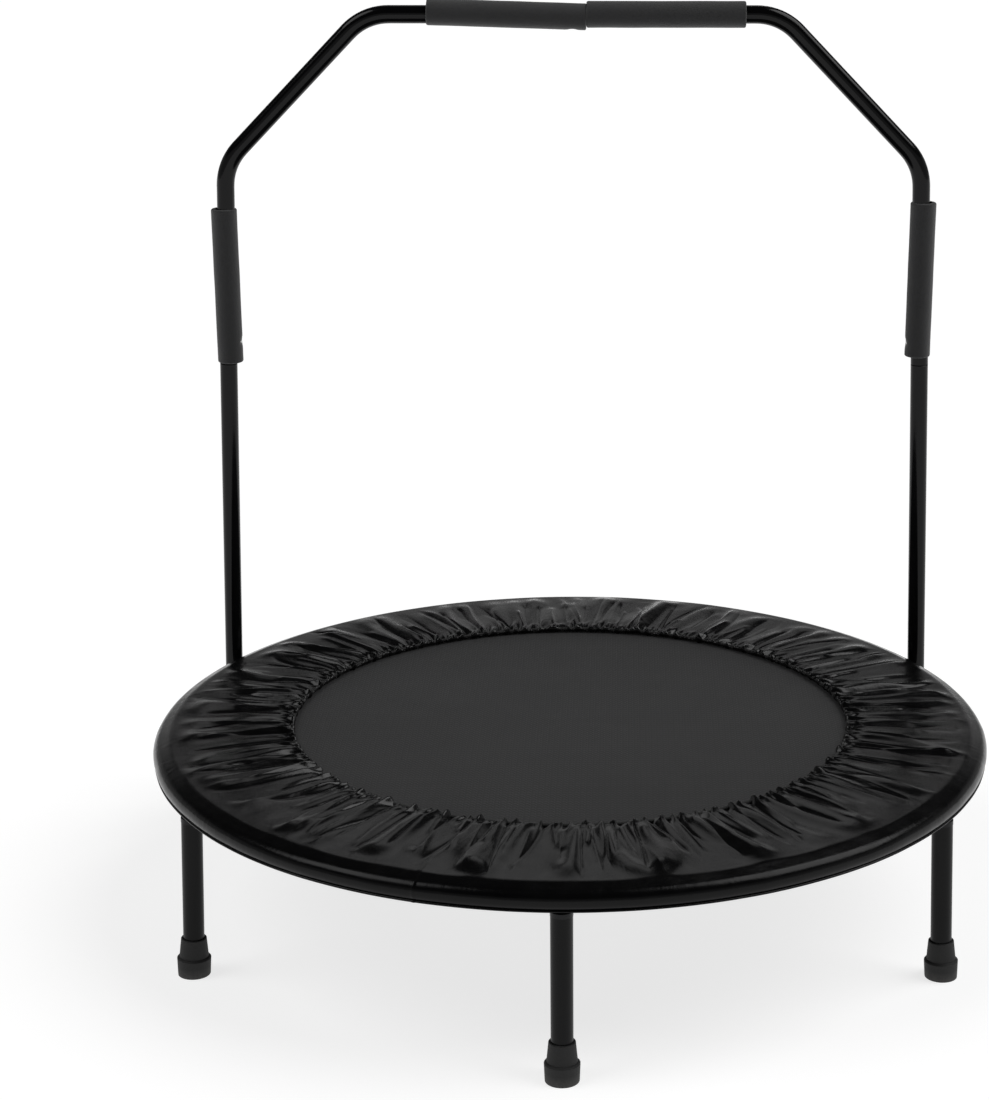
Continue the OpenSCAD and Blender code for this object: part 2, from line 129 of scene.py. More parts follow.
class Graph:
    """A material's node tree, with short names for what the materials here use."""

    def __init__(self, name):
        self.mat = bpy.data.materials.new(name)
        self.mat.use_nodes = True
        self.tree = self.mat.node_tree
        self.shader = self.tree.nodes["Principled BSDF"]
        self.coords = None

    def add(self, kind, **values):
        node = self.tree.nodes.new(kind)
        for key, value in values.items():
            setattr(node, key, value)
        return node

    def link(self, out, into):
        self.tree.links.new(out, into)

    def put(self, socket, value):
        if isinstance(value, bpy.types.NodeSocket):
            self.link(value, socket)
        else:
            socket.default_value = value

    def set(self, **values):
        for key, value in values.items():
            self.put(self.shader.inputs[key.replace("_", " ")], value)

    def position(self):
        """The rest position: an object's own coordinates, as no object is moved."""
        if self.coords is None:
            self.coords = self.add("ShaderNodeTexCoord").outputs["Object"]
        return self.coords

    def scaled(self, scale, vector=None):
        node = self.add("ShaderNodeMapping")
        self.link(vector or self.position(), node.inputs["Vector"])
        node.inputs["Scale"].default_value = scale if hasattr(scale, "__len__") else (scale,) * 3
        return node.outputs["Vector"]

    def noise(self, scale, detail=4.0, rough=0.55, vector=None, distortion=0.0):
        node = self.add("ShaderNodeTexNoise")
        self.link(vector or self.position(), node.inputs["Vector"])
        node.inputs["Scale"].default_value = scale
        node.inputs["Detail"].default_value = detail
        node.inputs["Roughness"].default_value = rough
        node.inputs["Distortion"].default_value = distortion
        return node.outputs["Fac"]

    def voronoi(self, scale, feature="F1", vector=None):
        node = self.add("ShaderNodeTexVoronoi", feature=feature)
        self.link(vector or self.position(), node.inputs["Vector"])
        node.inputs["Scale"].default_value = scale
        return node.outputs["Distance"]

    def math(self, op, a, b=0.0, c=0.0):
        node = self.add("ShaderNodeMath", operation=op)
        for socket, value in zip(node.inputs, (a, b, c)):
            self.put(socket, value)
        return node.outputs[0]

    def split(self, vector=None):
        node = self.add("ShaderNodeSeparateXYZ")
        self.link(vector or self.position(), node.inputs[0])
        return node.outputs

    def join(self, x, y, z):
        node = self.add("ShaderNodeCombineXYZ")
        for socket, value in zip(node.inputs, (x, y, z)):
            self.put(socket, value)
        return node.outputs[0]

    def remap(self, value, lo, hi, to_lo=0.0, to_hi=1.0):
        node = self.add("ShaderNodeMapRange")
        for key, v in (
            ("Value", value),
            ("From Min", lo),
            ("From Max", hi),
            ("To Min", to_lo),
            ("To Max", to_hi),
        ):
            self.put(node.inputs[key], v)
        return node.outputs["Result"]

    def mix(self, fac, a, b):
        """A colour between a and b."""
        node = self.add("ShaderNodeMix", data_type="RGBA")
        self.put(node.inputs["Factor"], fac)
        self.put(node.inputs["A"], (*a, 1.0) if isinstance(a, tuple) else a)
        self.put(node.inputs["B"], (*b, 1.0) if isinstance(b, tuple) else b)
        return node.outputs["Result"]

    def bump(self, height, distance, strength=1.0, normal=None):
        node = self.add("ShaderNodeBump")
        node.inputs["Strength"].default_value = strength
        node.inputs["Distance"].default_value = distance
        self.link(height, node.inputs["Height"])
        if normal is not None:
            self.link(normal, node.inputs["Normal"])
        return node.outputs["Normal"]

    def polar(self):
        """(radius, arc length at the mat's edge, height) round the Z axis."""
        x, y, z = self.split()
        radius = self.math("SQRT", self.math("ADD", self.math("MULTIPLY", x, x), self.math("MULTIPLY", y, y)))
        arc = self.math("MULTIPLY", self.math("ARCTAN2", y, x), MAT_R)
        return radius, arc, z


def sine(g, value, pitch, phase=0.0):
    """0..1 wave with that pitch."""
    angle = g.math("MULTIPLY_ADD", value, TAU / pitch, phase)
    return g.math("MULTIPLY_ADD", g.math("SINE", angle), 0.5, 0.5)


def weave(g, u, v, pitch):
    """Plain weave height 0..1 from two directions, each thread passing over and under the other."""
    warp = sine(g, u, pitch)
    weft = sine(g, v, pitch)
    over = g.math("MULTIPLY", sine(g, u, 2 * pitch), sine(g, v, 2 * pitch, math.pi))
    under = g.math("MULTIPLY", sine(g, u, 2 * pitch, math.pi), sine(g, v, 2 * pitch))
    return g.math("MAXIMUM", g.math("MULTIPLY", warp, over), g.math("MULTIPLY", weft, under))


def gloss_paint(name, colour, rough, coat):
    """Sprayed enamel on steel: orange peel, faint dust nibs and a slightly uneven gloss."""
    g = Graph(name)
    peel = g.noise(420, 3)
    nibs = g.remap(g.noise(1500, 1), 0.72, 0.8)
    height = g.math("MULTIPLY_ADD", nibs, 0.4, peel)
    cloud = g.noise(30, 3)
    g.set(
        Base_Color=g.mix(cloud, tuple(c * 0.8 for c in colour), tuple(c * 1.25 for c in colour)),
        Roughness=g.remap(cloud, 0.3, 0.7, rough * 0.85, rough * 1.2),
        Specular_IOR_Level=0.13,
        Coat_Weight=coat,
        Coat_Roughness=rough * 0.5,
        Normal=g.bump(height, 0.00006, 0.5),
    )
    return g.mat


def satin_paint(name, colour, rough):
    """Powder coat: fine texture, rubbed a little brighter where hands and floors touch it."""
    g = Graph(name)
    grain = g.noise(1100, 4, 0.65)
    cloud = g.noise(18, 4)
    rub = g.remap(g.noise(60, 6, 0.7), 0.62, 0.78)
    base = g.mix(cloud, tuple(c * 0.8 for c in colour), tuple(c * 1.25 for c in colour))
    wear_and_painted_light = g.mix(g.math("MULTIPLY", rub, 0.35), base, tuple(c * 2.2 for c in colour))
    g.set(
        Base_Color=wear_and_painted_light,
        Roughness=g.remap(grain, 0.3, 0.7, rough - 0.05, rough + 0.08),
        Specular_IOR_Level=0.15,
        Normal=g.bump(grain, 0.00012, 0.45),
    )
    return g.mat


def plated(name, colour, rough, spots=0.3):
    """Plated or bare steel with drawing lines and a cloudy sheen."""
    g = Graph(name)
    streak = g.noise(500, 4, 0.6, g.scaled((1, 1, 0.15)))
    cloud = g.noise(90, 4)
    tint = tuple(c * (1 - 0.35 * spots) for c in colour)
    g.set(
        Base_Color=g.mix(g.math("MULTIPLY", cloud, spots * 2), colour, tint),
        Metallic=1.0,
        Roughness=g.remap(streak, 0.3, 0.7, rough * 0.75, rough * 1.3),
        Normal=g.bump(streak, 0.00003, 0.4),
    )
    return g.mat


def rubber(name, colour, rough):
    """Moulded rubber: matt, pebbled, with pale dust low down near the floor."""
    g = Graph(name)
    pebble = g.noise(900, 5, 0.7)
    _, _, z = g.split()
    dust = g.math("MULTIPLY", g.remap(z, 0.0, 0.012, 0.55, 0.0), g.noise(260, 5, 0.7))
    g.set(
        Base_Color=g.mix(dust, colour, (0.13, 0.125, 0.12)),
        Roughness=g.remap(pebble, 0.3, 0.7, rough - 0.08, min(0.98, rough + 0.1)),
        Specular_IOR_Level=0.35,
        Normal=g.bump(pebble, 0.00025, 0.5),
    )
    return g.mat


def moulded(name, colour, rough):
    """Injection-moulded plastic with a fine spark-eroded grain."""
    g = Graph(name)
    grain = g.voronoi(1400)
    g.set(
        Base_Color=g.mix(g.noise(70, 3), tuple(c * 0.85 for c in colour), tuple(c * 1.2 for c in colour)),
        Roughness=rough,
        Normal=g.bump(grain, 0.00008, 0.35),
    )
    return g.mat


def foam_skin(name):
    """Closed-cell foam: open pores of two sizes in a dull, slightly furry skin, with painted shade in the
    pores.
    """
    g = Graph(name)
    pores = g.remap(g.voronoi(650), 0.0, 0.55)
    fine = g.noise(1700, 4, 0.7)
    swell = g.noise(110, 3)
    height = g.math("ADD", g.math("MULTIPLY", pores, 0.7), g.math("MULTIPLY_ADD", fine, 0.35, swell))
    g.set(
        # Painted shade: the colour is darker where the pores sink deepest.
        Base_Color=g.mix(pores, (0.006, 0.006, 0.0065), (0.019, 0.019, 0.020)),
        Roughness=g.remap(fine, 0.3, 0.7, 0.78, 0.94),
        Specular_IOR_Level=0.3,
        Sheen_Weight=0.25,
        Sheen_Roughness=0.6,
        Normal=g.bump(height, 0.0005, 0.6),
    )
    return g.mat


def mat_fabric(name):
    """Fine woven polypropylene, with slightly uneven threads, painted shade between them, and a faintly
    lighter middle that is a painted pool of light.
    """
    g = Graph(name)
    x, y, _ = g.split()
    wobble = g.math("MULTIPLY", g.noise(9, 2), 0.0016)
    height = weave(g, g.math("ADD", x, wobble), g.math("ADD", y, wobble), 0.0034)
    radius, _, _ = g.polar()
    fuzz = g.noise(700, 4, 0.75)
    cloud = g.noise(5, 4, 0.6)
    # Painted pool of light: the colour is lighter towards the middle of the mat and fades out before the
    # cover's edge.
    wear_and_painted_light = g.math("MULTIPLY", g.remap(radius, 0.02, 0.28, 0.5, 0.0), cloud)
    # Painted shade: the colour follows the weave's height and is near black in its low places between the
    # threads.
    thread = g.mix(height, (0.001, 0.001, 0.0012), (0.0175, 0.0175, 0.0185))
    furry = g.mix(g.math("MULTIPLY", fuzz, 0.4), thread, (0.03, 0.03, 0.031))
    g.set(
        Base_Color=g.mix(wear_and_painted_light, furry, (0.024, 0.024, 0.025)),
        Roughness=g.remap(cloud, 0.3, 0.7, 0.6, 0.72),
        Specular_IOR_Level=0.42,
        Sheen_Weight=0.12,
        Normal=g.bump(height, 0.0004, 0.55),
    )
    return g.mat


def cover_fabric(name):
    """Coated polyester: glossy black film over a fine weave, with small creases from folding."""
    g = Graph(name)
    radius, arc, z = g.polar()
    cloth = weave(g, radius, arc, 0.0007)
    crease = g.noise(1.0, 5, 0.6, g.join(g.math("MULTIPLY", radius, 16), g.math("MULTIPLY", arc, 55), z), 1.2)
    crumple = g.noise(150, 4, 0.55, None, 0.6)
    ridge = g.math("ABSOLUTE", g.math("SUBTRACT", crease, 0.5))
    relief = g.bump(g.math("MULTIPLY_ADD", crumple, 0.2, ridge), 0.0014, 0.35)
    g.set(
        Base_Color=g.mix(g.noise(26, 4), (0.0012, 0.0012, 0.0014), (0.0026, 0.0026, 0.0028)),
        Roughness=g.remap(g.noise(40, 5, 0.6), 0.3, 0.7, 0.17, 0.27),
        Specular_IOR_Level=g.remap(radius, 0.489, 0.494, 0.3, 0.15),
        Normal=g.bump(cloth, 0.00005, 0.3, relief),
    )
    return g.mat


def woven_strap(name, colour):
    """Webbing seen from above: ribs across, two rows of lock stitches along, and painted shade in the weave's
    low places.
    """
    g = Graph(name)
    radius, arc, _ = g.polar()
    rib = sine(g, arc, 0.0012)
    twill = weave(g, radius, arc, 0.0012)
    rows = [g.math("COMPARE", radius, r, 0.00055) for r in (0.3425, 0.3485)]
    dashes = g.math("GREATER_THAN", sine(g, arc, 0.0042), 0.3)
    thread = g.math("MULTIPLY", g.math("ADD", *rows), dashes)
    height = g.math("ADD", g.math("MULTIPLY_ADD", rib, 0.35, twill), g.math("MULTIPLY", thread, 1.6))
    g.set(
        # Painted shade: the webbing's colour is darker in the twill's low places. The stitch rows are pale
        # thread.
        Base_Color=g.mix(thread, g.mix(twill, tuple(c * 0.5 for c in colour), colour), (0.04, 0.04, 0.042)),
        Roughness=0.82,
        Specular_IOR_Level=0.3,
        Sheen_Weight=0.15,
        Normal=g.bump(height, 0.0004, 0.6),
    )
    return g.mat


def braided(name):
    """Covered elastic cord, with painted shade between the braid's strands."""
    g = Graph(name)
    _, arc, z = g.polar()
    braid = weave(g, g.math("ADD", arc, z), g.math("SUBTRACT", arc, z), 0.0014)
    g.set(
        # Painted shade: the colour follows the braid's height and is darker in its low places.
        Base_Color=g.mix(braid, (0.006, 0.006, 0.006), (0.028, 0.028, 0.028)),
        Roughness=0.8,
        Normal=g.bump(braid, 0.0003, 0.6),
    )
    return g.mat


MATERIALS = {
    "frame_paint": gloss_paint("frame_paint", (0.008, 0.008, 0.009), 0.26, 0.1),
    "leg_paint": satin_paint("leg_paint", (0.0018, 0.0018, 0.002), 0.3),
    "handle_paint": gloss_paint("handle_paint", (0.0022, 0.0022, 0.0025), 0.14, 0.12),
    "foot_rubber": rubber("foot_rubber", (0.013, 0.013, 0.013), 0.68),
    "cover_fabric": cover_fabric("cover_fabric"),
    "elastic": braided("elastic"),
    "mat_mesh": mat_fabric("mat_mesh"),
    "webbing": woven_strap("webbing", (0.018, 0.018, 0.018)),
    "zinc": plated("zinc", (0.62, 0.63, 0.64), 0.32),
    "nickel": plated("nickel", (0.78, 0.78, 0.77), 0.16, 0.1),
    "spring_steel": plated("spring_steel", (0.42, 0.42, 0.43), 0.3),
    "cap_plastic": moulded("cap_plastic", (0.014, 0.014, 0.014), 0.5),
    "foam": foam_skin("foam"),
}

for entry in frame["record"]["subparts"]:
    node_object = frame["nodes"][entry["node"]]
    node_object.data.materials.clear()
    node_object.data.materials.append(MATERIALS[entry["material_slot"]])


# ---------- mesh helpers ----------


def mesh_object(name, points, faces, slot):
    mesh = bpy.data.meshes.new(name)
    mesh.from_pydata([tuple(p) for p in points], [], faces)
    mesh.polygons.foreach_set("use_smooth", [True] * len(mesh.polygons))
    mesh.materials.append(MATERIALS[slot])
    mesh.validate()
    mesh.update()
    obj = bpy.data.objects.new(name, mesh)
    bpy.context.scene.collection.objects.link(obj)
    return obj


def grid_faces(rows, cols):
    """Quads of a rows x cols grid of points stored row by row, its last column joined to its first."""
    i = np.arange(rows - 1)[:, None]
    j = np.arange(cols)[None, :]
    i2 = i + 1
    j2 = (j + 1) % cols
    quads = np.stack([i * cols + j, i2 * cols + j, i2 * cols + j2, i * cols + j2], -1)
    return quads.reshape(-1, 4).tolist()


def round_section(centre, radius, start, end, count):
    """Points [r, z] of an arc in the profile plane; angles in degrees, 0 outwards and 90 up."""
    a = np.radians(np.linspace(start, end, count))
    return np.stack([centre[0] + radius * np.cos(a), centre[1] + radius * np.sin(a)], -1)


def frame_along(path):
    """A side and an up vector at each point of a path, without twist."""
    tangent = np.gradient(path, axis=0)
    tangent /= np.linalg.norm(tangent, axis=1)[:, None]
    up = np.array([0.0, 0.0, 1.0]) if abs(tangent[0][2]) < 0.9 else np.array([0.0, 1.0, 0.0])
    sides, ups = [], []
    for t in tangent:
        side = np.cross(t, up)
        side /= np.linalg.norm(side)
        up = np.cross(side, t)
        sides.append(side)
        ups.append(up)
    return np.array(sides), np.array(ups)


def tube_mesh(path, radius, sides):
    """Vertices and faces of a closed-ended tube of that radius along a path."""
    side, up = frame_along(path)
    a = np.linspace(0, TAU, sides, endpoint=False)
    ring = np.cos(a)[None, :, None] * side[:, None, :] + np.sin(a)[None, :, None] * up[:, None, :]
    points = (path[:, None, :] + radius * ring).reshape(-1, 3)
    faces = grid_faces(len(path), sides)
    last = (len(path) - 1) * sides
    faces += [list(range(sides))[::-1], [last + k for k in range(sides)]]
    return points, faces


# ---------- cover ----------

def wrapped(delta):
    return (delta + math.pi) % TAU - math.pi


def crease(theta, u, start, rng, width, size, spread, power, reach):
    """One radial crease or ridge: a peak along a slightly bent line that fades out at its reach."""
    slant = rng.normal(0.0, 0.03)
    bend = rng.normal(0.0, 0.035)
    centre = start + slant * u + bend * u * u
    w = width * (1 + spread * u)
    fade = np.clip((reach - u) / (0.22 * reach), 0, 1)
    fade = fade * fade * (3 - 2 * fade)
    grow = 0.55 + 0.45 * np.clip(u / 0.15, 0, 1)
    x = wrapped(theta[None, :] - centre[:, None]) / w[:, None]
    return (size * grow * fade)[:, None] * np.exp(-np.abs(x) ** power)


def scattered(count, rng):
    return (np.arange(count) + rng.uniform(-0.45, 0.45, count)) * TAU / count


def folds(theta, u, rng):
    """Height of the gathers in metres, at angles theta (cols) and places u (rows, 0 elastic to 1 rim)."""
    height = np.zeros((len(u), len(theta)))
    for start in scattered(64, rng):
        height += crease(
            theta, u, start, rng, rng.uniform(0.014, 0.026), rng.uniform(0.0022, 0.0044),
            rng.uniform(0.2, 0.8), 2.0, rng.uniform(0.9, 1.0),
        )
    for start in scattered(120, rng):
        height += crease(
            theta, u, start, rng, rng.uniform(0.004, 0.009), rng.uniform(0.0008, 0.0028),
            rng.uniform(0.6, 2.0), 1.35, rng.uniform(0.4, 1.0),
        )
    for start in scattered(104, rng):
        height -= crease(
            theta, u, start, rng, rng.uniform(0.004, 0.009), rng.uniform(0.0016, 0.004),
            rng.uniform(0.2, 1.4), 1.0, rng.uniform(0.6, 1.0),
        )
    return height


def puckers(theta, u, rng):
    """Height of the fine gathers next to the elastic, as a number around 0."""
    phase = np.zeros(len(theta))
    for k in range(2, 9):
        phase += rng.uniform(0.3, 1.2) / k * np.sin(k * theta * 3 + rng.uniform(0, TAU))
    value = np.zeros((len(u), len(theta)))
    for count, weight in ((143, 1.0), (89, 0.9), (201, 0.6)):
        drift = rng.uniform(-3, 3)
        turn = rng.uniform(0, TAU)
        angle = count * theta[None, :] + 4 * phase[None, :] + turn + drift * 12 * u[:, None]
        value += weight * (1 - 2 * np.abs(np.sin(angle / 2)))
    return value


def swells(theta, u, rng):
    """Slow unevenness of the sheet between rim and elastic, in metres."""
    value = np.zeros((len(u), len(theta)))
    for _ in range(26):
        count = rng.integers(4, 34)
        lean = rng.uniform(-2.5, 2.5)
        turn = rng.uniform(0, TAU)
        value += rng.uniform(0.2, 1.0) * np.sin(count * theta[None, :] + lean * u[:, None] * 3 + turn)
    return 0.00025 * value * np.sin(math.pi * np.clip(u, 0, 1))[:, None]


def rounded_line(corners, count, radius):
    """Evenly spaced points along a line through the corners, its corners eased over that radius."""
    corners = np.array(corners)
    lengths = np.r_[0, np.cumsum(np.linalg.norm(np.diff(corners, axis=0), axis=1))]
    t = np.linspace(0, lengths[-1], 6 * count)
    line = np.stack([np.interp(t, lengths, corners[:, k]) for k in (0, 1)], -1)
    half = max(1, int(radius / (t[1] - t[0])))
    padded = np.pad(line, ((half, half), (0, 0)), mode="reflect", reflect_type="odd")
    window = np.hanning(2 * half + 3)[1:-1]
    eased = np.stack([np.convolve(padded[:, k], window / window.sum(), "valid") for k in (0, 1)], -1)
    return eased[np.linspace(0, len(eased) - 1, count).astype(int)]


def lowest_cover(radius):
    """The lowest the sheet may lie over the mat, the webbing, the springs and the ring, by radius."""
    places = [0.0, 0.3395, 0.3405, 0.351, 0.352, 0.367, 0.368, 0.384, 0.386, 0.463, 0.472, 0.6]
    heights = [0.0006, 0.0006, 0.002, 0.002, 0.0039, 0.0039, 0.0018, 0.0018, 0.0049, 0.0049, 0.0018, -1.0]
    return MAT_Z + np.interp(radius, places, heights)


def cover_profile():
    """Section of the cover as [r, z] rows, and the numbers of the rows where its top, skirt and hem begin."""
    channel = round_section((CHANNEL_R, CHANNEL_Z), CHANNEL_RO, 330, 95, CHANNEL_ROWS)
    skirt = round_section((RING_R, RING_Z), COVER_RO, SKIRT_FROM, HEM_ANGLE, SKIRT_ROWS)
    top = rounded_line([channel[-1], (KNEE_R, KNEE_Z), skirt[0]], ROWS_TOP + 6, 0.003)[1:-1]
    hem = round_section((RING_R + HEM_X, RING_Z + HEM_Z), HEM_RO, 30, -250, HEM_ROWS)
    skirt_row = len(channel) + len(top)
    return np.concatenate([channel, top, skirt, hem]), len(channel), skirt_row, skirt_row + len(skirt)


def skirt_wave(theta, rng):
    """Slow waves round the taut skirt, as a number around 0."""
    wave = np.zeros(len(theta))
    for count in (9, 17, 23, 41, 67):
        wave += rng.uniform(0.3, 1.0) * np.sin(count * theta + rng.uniform(0, TAU))
    return wave


def outwardness(rows, skirt_row, hem_row):
    """How much of each row's outward normal is radial."""
    outward = np.zeros(rows)
    angles = np.radians(np.linspace(SKIRT_FROM, HEM_ANGLE, hem_row - skirt_row))
    outward[skirt_row:hem_row] = np.cos(angles)
    outward[hem_row:] = 1.0
    return outward


def build_cover():
    """The gathered cover: rows run from the elastic over the springs, down the skirt and round the hem."""
    rng = np.random.default_rng(41)
    theta = np.linspace(0, TAU, COVER_COLS, endpoint=False)
    profile, n, m, hem_row = cover_profile()
    u = np.ones(len(profile))
    u[:n] = 0.0
    u[n:m] = np.clip((profile[n:m, 0] - CHANNEL_R) / (RING_R - CHANNEL_R), 0, 1)
    near = np.exp(-((u / 0.09) ** 1.5))[:, None]
    gather = puckers(theta, u, rng)
    lift = folds(theta, u, rng) + swells(theta, u, rng) + 0.0021 * gather * near
    radius = np.repeat(profile[:, 0][:, None], len(theta), 1)
    z = np.repeat(profile[:, 1][:, None], len(theta), 1)
    # Round the elastic the cloth bunches in and out, and takes over the folds' height towards its top.
    a = np.radians(np.linspace(330, 95, n))[:, None]
    over = np.clip(np.linspace(-0.4, 1.0, n), 0, 1)[:, None]
    bunch = 0.0013 * gather[:n]
    radius[:n] += bunch * np.cos(a) * (1 - over)
    z[:n] += bunch * np.sin(a) * (1 - over) + lift[:n] * over
    z[n:m] += lift[n:m]
    z[:m] = np.maximum(z[:m], lowest_cover(radius[:m]))
    depth = np.linspace(0, 1, len(profile) - m)[:, None]
    radius[m:] += 0.00016 * skirt_wave(theta, rng)[None, :] * np.sin(math.pi * depth)
    # The cloth's joining seam stands out a little.
    seam = 0.0007 * np.exp(-((wrapped(theta - math.radians(SEAM_DEG)) / 0.0035) ** 4))
    outward = outwardness(len(profile), m, hem_row)
    span = np.clip((u - 0.6) / 0.3, 0, 1)[:, None]
    radius += seam[None, :] * span * outward[:, None]
    z += seam[None, :] * span * np.sqrt(1 - outward**2)[:, None]
    points = np.stack([radius * np.cos(theta), radius * np.sin(theta), z], -1).reshape(-1, 3)
    cover = mesh_object("cover_sheet", points, grid_faces(len(profile), COVER_COLS), "cover_fabric")
    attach(cover, "frame")
    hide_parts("cover")


# ---------- mat and webbing ----------


def build_mat():
    """The jumping mat: a taut woven disc, its edge under the webbing."""
    rings = np.concatenate([[0.0], np.linspace(0.012, MAT_R, 46)])
    cols = 256
    theta = np.linspace(0, TAU, cols, endpoint=False)
    x, y = np.cos(theta), np.sin(theta)
    rng = np.random.default_rng(11)
    level = np.zeros((len(rings), cols))
    for _ in range(12):
        count = rng.integers(0, 7)
        level += rng.uniform(0.2, 1) * np.cos(count * theta + rng.uniform(0, TAU))[None, :] * (
            np.sin(rng.uniform(2, 9) * rings / MAT_R)[:, None]
        )
    level *= 0.00008 * (1 - (rings / MAT_R)[:, None] ** 8)
    z = MAT_Z + MAT_T / 2 + level
    points = np.stack([rings[:, None] * x, rings[:, None] * y, z], -1)
    centre = points[0].mean(0)
    body = points[1:].reshape(-1, 3)
    count = len(body)
    faces = grid_faces(len(rings) - 1, cols)
    faces += [[count, k, (k + 1) % cols] for k in range(cols)]
    mat = mesh_object("mat_sheet", np.vstack([body, centre[None]]), faces, "mat_mesh")
    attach(mat, "mat")
    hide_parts("mat")


def build_webbing():
    """Webbing folded over the mat's edge into a pocket, cut away over each triangular ring."""
    half = POCKET_H / 2
    lower = [
        (WEBBING_R, MAT_Z + MAT_T / 2),
        (WEBBING_R + 0.0002, MAT_Z + MAT_T / 2 + STRIP_T * 0.8),
        (WEBBING_R + 0.0012, MAT_Z + MAT_T / 2 + STRIP_T),
        (MAT_R - 0.004, MAT_Z + MAT_T / 2 + STRIP_T),
        (MAT_R - 0.0005, MAT_Z + half * 0.9),
        (MAT_R + 0.003, MAT_Z + half),
        (POCKET_R, MAT_Z + half),
        (POCKET_OUT_R - 0.002, MAT_Z + half * 0.93),
        (POCKET_OUT_R - 0.0003, MAT_Z + half * 0.55),
        (POCKET_OUT_R, MAT_Z),
    ]
    up = np.array(lower)
    down = up[::-1][1:].copy()
    down[:, 1] = 2 * MAT_Z - down[:, 1]
    profile = np.concatenate([up, down])
    cols = SPRINGS * 48
    theta = np.linspace(0, TAU, cols, endpoint=False)
    step = TAU / SPRINGS
    local = wrapped(theta % step - step / 2) * POCKET_R
    notch = np.exp(-((np.abs(local) - 0.0087) / 0.0038) ** 4)
    radius = np.repeat(profile[:, 0][:, None], cols, 1)
    z = np.repeat(profile[:, 1][:, None], cols, 1)
    edge = np.clip((profile[:, 0] - POCKET_R + 0.001) / (POCKET_OUT_R - POCKET_R), 0, 1)[:, None]
    radius -= 0.0052 * edge * notch[None, :]
    rng = np.random.default_rng(3)
    for count in (36, 72, 108):
        z += 0.00006 * rng.uniform(0.5, 1) * np.sin(count * theta + rng.uniform(0, TAU))[None, :]
    points = np.stack([radius * np.cos(theta), radius * np.sin(theta), z], -1).reshape(-1, 3)
    webbing = mesh_object("webbing_sheet", points, grid_faces(len(profile), cols), "webbing")
    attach(webbing, "mat")
    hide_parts("mat_webbing")


# ---------- springs ----------


def spring_path(per_turn):
    """Centreline of an extension spring along +X: eye, close coil, hook down through the ring's hole."""
    turns = int((COIL_TO - COIL_FROM) / WIRE) - 1
    wire_r = COIL_R - WIRE / 2
    a = np.linspace(math.radians(20), math.radians(360), 16)
    eye = np.stack([HOOK_C + HOOK_R * np.cos(a), 0 * a, HOOK_R * np.sin(a)], -1)
    lead = np.array([[COIL_FROM - 0.0015, 0.0004, -0.0009], [COIL_FROM - 0.0004, 0.0006, -0.0026]])
    b = np.linspace(0, turns * TAU, turns * per_turn + 1)
    x = np.linspace(COIL_FROM + WIRE / 2, COIL_TO - WIRE / 2, len(b))
    coil = np.stack([x, wire_r * np.sin(b), -wire_r * np.cos(b)], -1)
    tail = np.array([
        [COIL_TO + 0.0008, -0.0006, -0.0022],
        [COIL_TO + 0.0022, 0.0, -0.0004],
        [COIL_TO + 0.006, 0.0, 0.0],
        [HOOK_LEG_R - 0.0025, 0.0, 0.0],
        [HOOK_LEG_R - 0.0007, 0.0, -0.0006],
        [HOOK_LEG_R, 0.0, -0.0022],
        [HOOK_LEG_R, 0.0, -HOOK_LEG_H],
    ])
    return np.concatenate([eye, lead, coil, tail])


def build_springs():
    path = spring_path(12)
    points, faces = tube_mesh(path, WIRE / 2, 6)
    points = points + np.array([0, 0, MAT_Z])
    sector = SPRINGS // len(LEGS)
    for i in range(SPRINGS):
        angle = math.radians((i + 0.5) * 360 / SPRINGS)
        turn = np.array(Matrix.Rotation(angle, 3, "Z"))
        spring = mesh_object(f"spring_{i + 1:02d}", points @ turn.T, faces, "zinc")
        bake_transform(spring)
        if i % sector == 0:
            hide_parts("springs_" + LEGS[i // sector])


# ---------- foam grips ----------


def grip_axis(node):
    """Middle, unit direction and length of a straight grip, from its CAD solid."""
    co = np.array([v.co for v in frame["nodes"][node].data.vertices], float)
    middle = (co.min(0) + co.max(0)) / 2
    _, _, vt = np.linalg.svd(co - co.mean(0), full_matrices=False)
    direction = vt[0] * np.sign(vt[0][np.argmax(np.abs(vt[0]))])
    along = (co - middle) @ direction
    return middle + direction * (along.max() + along.min()) / 2, direction, along.max() - along.min()


